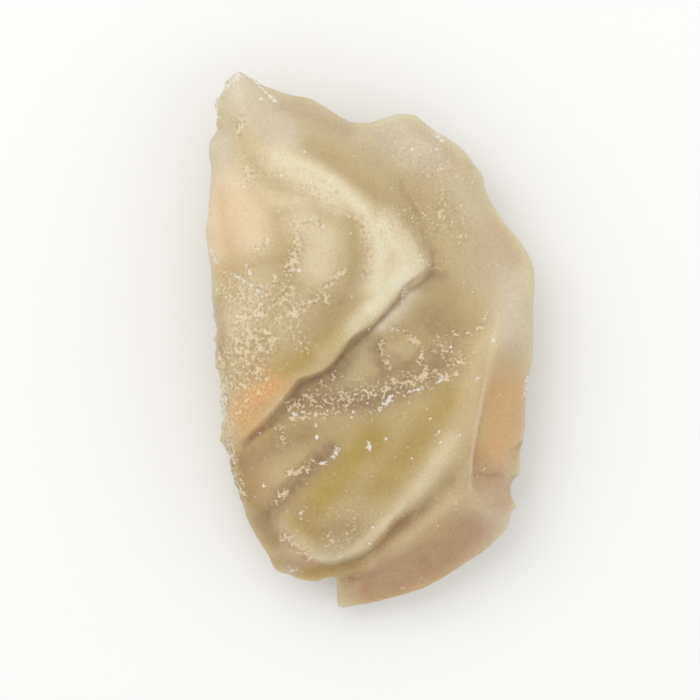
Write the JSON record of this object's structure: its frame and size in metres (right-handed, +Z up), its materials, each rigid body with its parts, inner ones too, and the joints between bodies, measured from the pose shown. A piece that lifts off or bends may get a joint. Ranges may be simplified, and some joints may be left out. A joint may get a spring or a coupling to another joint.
{
  "type": "raw libyan desert glass",
  "caption": "Raw lump of pale yellow-green natural silica glass: a leaf-shaped flake with a curled shelf, a sandy channel and flutes, lying on a flat facet.",
  "frame": {"origin": "under the middle of the lump's outline, on the surface that it lies on", "axes": "+Y towards the pointed end, along the length; +Z up, out of the face with the shelf; +X to the right of that face"},
  "size_m": [0.0492, 0.0808, 0.0226],
  "materials": {
    "glass_lump": "wind-frosted natural glass, pale yellow-green and cloudy, with sand in its hollows and fresh white chips on its edge"
  },
  "bodies": {
    "root": {"glass_lump": "glass_lump"}
  },
  "joints": []
}
